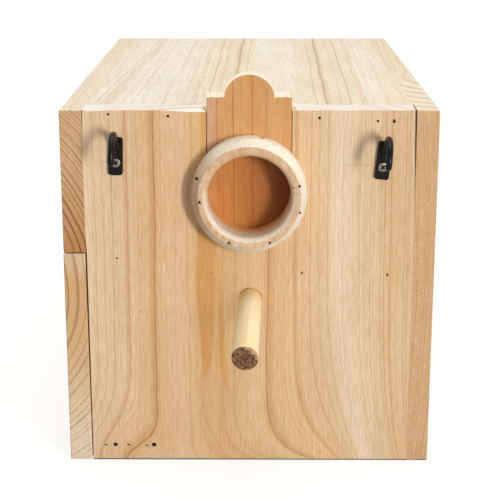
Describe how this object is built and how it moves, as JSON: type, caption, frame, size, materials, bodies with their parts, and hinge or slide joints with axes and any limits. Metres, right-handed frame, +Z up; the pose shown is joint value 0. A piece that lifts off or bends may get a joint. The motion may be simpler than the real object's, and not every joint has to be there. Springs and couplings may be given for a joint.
{
  "type": "parrot nest box",
  "caption": "Wooden box with a round ringed entrance, a shutter that slides up behind the ring, a round perch, hanging hooks on the front and a hinged flap in one side.",
  "frame": {"origin": "middle of the underside, on the plane that the box stands on", "axes": "+X to the right across the front, +Y from the front to the back, +Z up"},
  "size_m": [0.2132, 0.3643, 0.2178],
  "materials": {
    "front_board": "planed pine, flat-sawn, bare",
    "side_boards": "planed fir, bare, sawn ends",
    "left_flap": "planed fir, bare, sawn ends",
    "top_board": "planed spruce, bare",
    "inner_boards": "planed pine, bare",
    "shutter": "planed larch, bare",
    "entrance_ring": "turned pine, bare",
    "perch": "smooth peeled dowel",
    "hooks": "black moulded plastic",
    "screws": "zinc plated",
    "hinges": "brass-plated steel",
    "knob": "turned beech, bare"
  },
  "bodies": {
    "box": {"front_board": "front_board", "left_upper_board": "side_boards", "right_board": "side_boards", "top_board": "top_board", "bottom_board": "inner_boards", "back_board": "inner_boards", "entrance_ring": "entrance_ring", "perch": "perch", "left_hook": "hooks", "right_hook": "hooks", "left_hook_screw": "screws", "right_hook_screw": "screws", "front_hinge_box_leaf": "hinges", "rear_hinge_box_leaf": "hinges", "front_hinge_pin": "screws", "rear_hinge_pin": "screws", "front_hinge_box_screws": "screws", "rear_hinge_box_screws": "screws"},
    "shutter": {"shutter": "shutter"},
    "flap": {"left_flap": "left_flap", "front_hinge_flap_leaf": "hinges", "rear_hinge_flap_leaf": "hinges", "front_hinge_flap_screws": "screws", "rear_hinge_flap_screws": "screws", "flap_knob": "knob", "flap_knob_screw": "screws"}
  },
  "joints": [
    {"name": "shutter_slide", "type": "slide", "parent": "box", "child": "shutter", "axis": [0, 0, 1], "range_m": [0, 0.06]},
    {"name": "flap_hinge", "type": "hinge", "parent": "box", "child": "flap", "pos_m": [-0.1024, 0, 0.1209], "axis": [0, 1, 0], "range_deg": [0, 170]}
  ]
}
